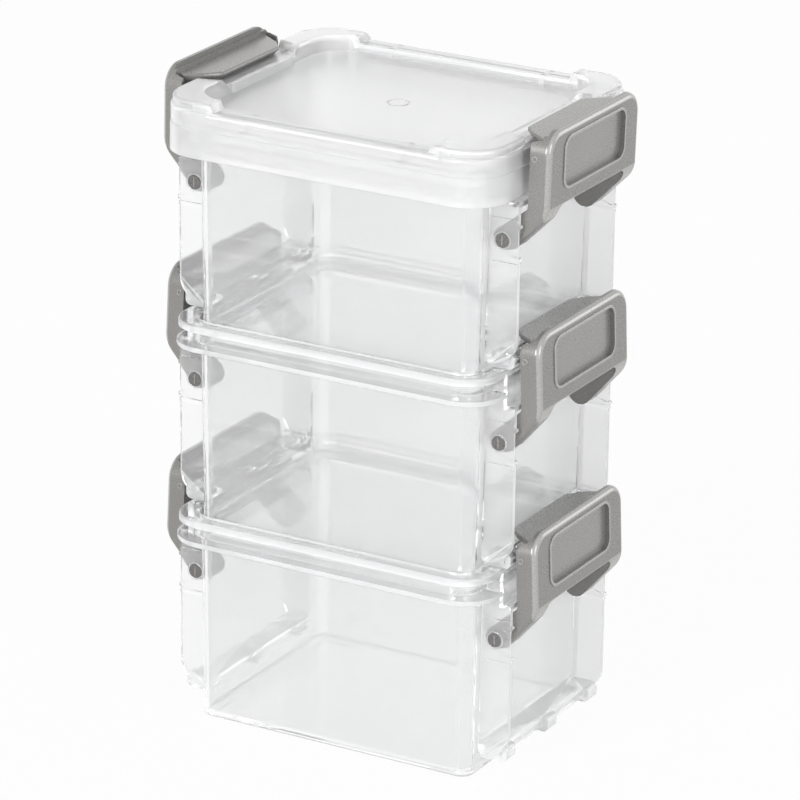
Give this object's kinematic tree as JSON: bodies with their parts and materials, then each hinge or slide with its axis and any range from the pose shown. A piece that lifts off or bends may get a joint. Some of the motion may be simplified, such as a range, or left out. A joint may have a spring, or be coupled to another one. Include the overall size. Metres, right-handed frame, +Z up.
{
  "type": "stackable clip-latch storage box",
  "caption": "Stack of clear tubs under one frosted lid, held together by hinged side clips, for keeping small craft supplies apart.",
  "frame": {"origin": "centre of the footprint, on the surface that the box stands on", "axes": "+Z up, clips at +X and -X, long front at -Y"},
  "size_m": [0.1034, 0.0734, 0.1595],
  "materials": {
    "clear_plastic": "clear polished",
    "frosted_plastic": "frosted translucent",
    "grey_plastic": "satin metallic grey"
  },
  "bodies": {
    "box": {"tub_bottom": "clear_plastic", "tub_middle": "clear_plastic", "tub_top": "clear_plastic", "lid": "frosted_plastic"},
    "clip_bottom_right": {"clip_bottom_right": "grey_plastic"},
    "clip_bottom_left": {"clip_bottom_left": "grey_plastic"},
    "clip_middle_right": {"clip_middle_right": "grey_plastic"},
    "clip_middle_left": {"clip_middle_left": "grey_plastic"},
    "clip_top_right": {"clip_top_right": "grey_plastic"},
    "clip_top_left": {"clip_top_left": "grey_plastic"}
  },
  "joints": [
    {"name": "clip_bottom_right_hinge", "type": "hinge", "parent": "box", "child": "clip_bottom_right", "pos_m": [0.041, 0, 0.035], "axis": [0, 1, 0], "range_deg": [0, 120]},
    {"name": "clip_bottom_left_hinge", "type": "hinge", "parent": "box", "child": "clip_bottom_left", "pos_m": [-0.041, 0, 0.035], "axis": [0, -1, 0], "range_deg": [0, 120]},
    {"name": "clip_middle_right_hinge", "type": "hinge", "parent": "box", "child": "clip_middle_right", "pos_m": [0.041, 0, 0.08405], "axis": [0, 1, 0], "range_deg": [0, 120]},
    {"name": "clip_middle_left_hinge", "type": "hinge", "parent": "box", "child": "clip_middle_left", "pos_m": [-0.041, 0, 0.08405], "axis": [0, -1, 0], "range_deg": [0, 120]},
    {"name": "clip_top_right_hinge", "type": "hinge", "parent": "box", "child": "clip_top_right", "pos_m": [0.041, 0, 0.1331], "axis": [0, 1, 0], "range_deg": [0, 120]},
    {"name": "clip_top_left_hinge", "type": "hinge", "parent": "box", "child": "clip_top_left", "pos_m": [-0.041, 0, 0.1331], "axis": [0, -1, 0], "range_deg": [0, 120]}
  ]
}
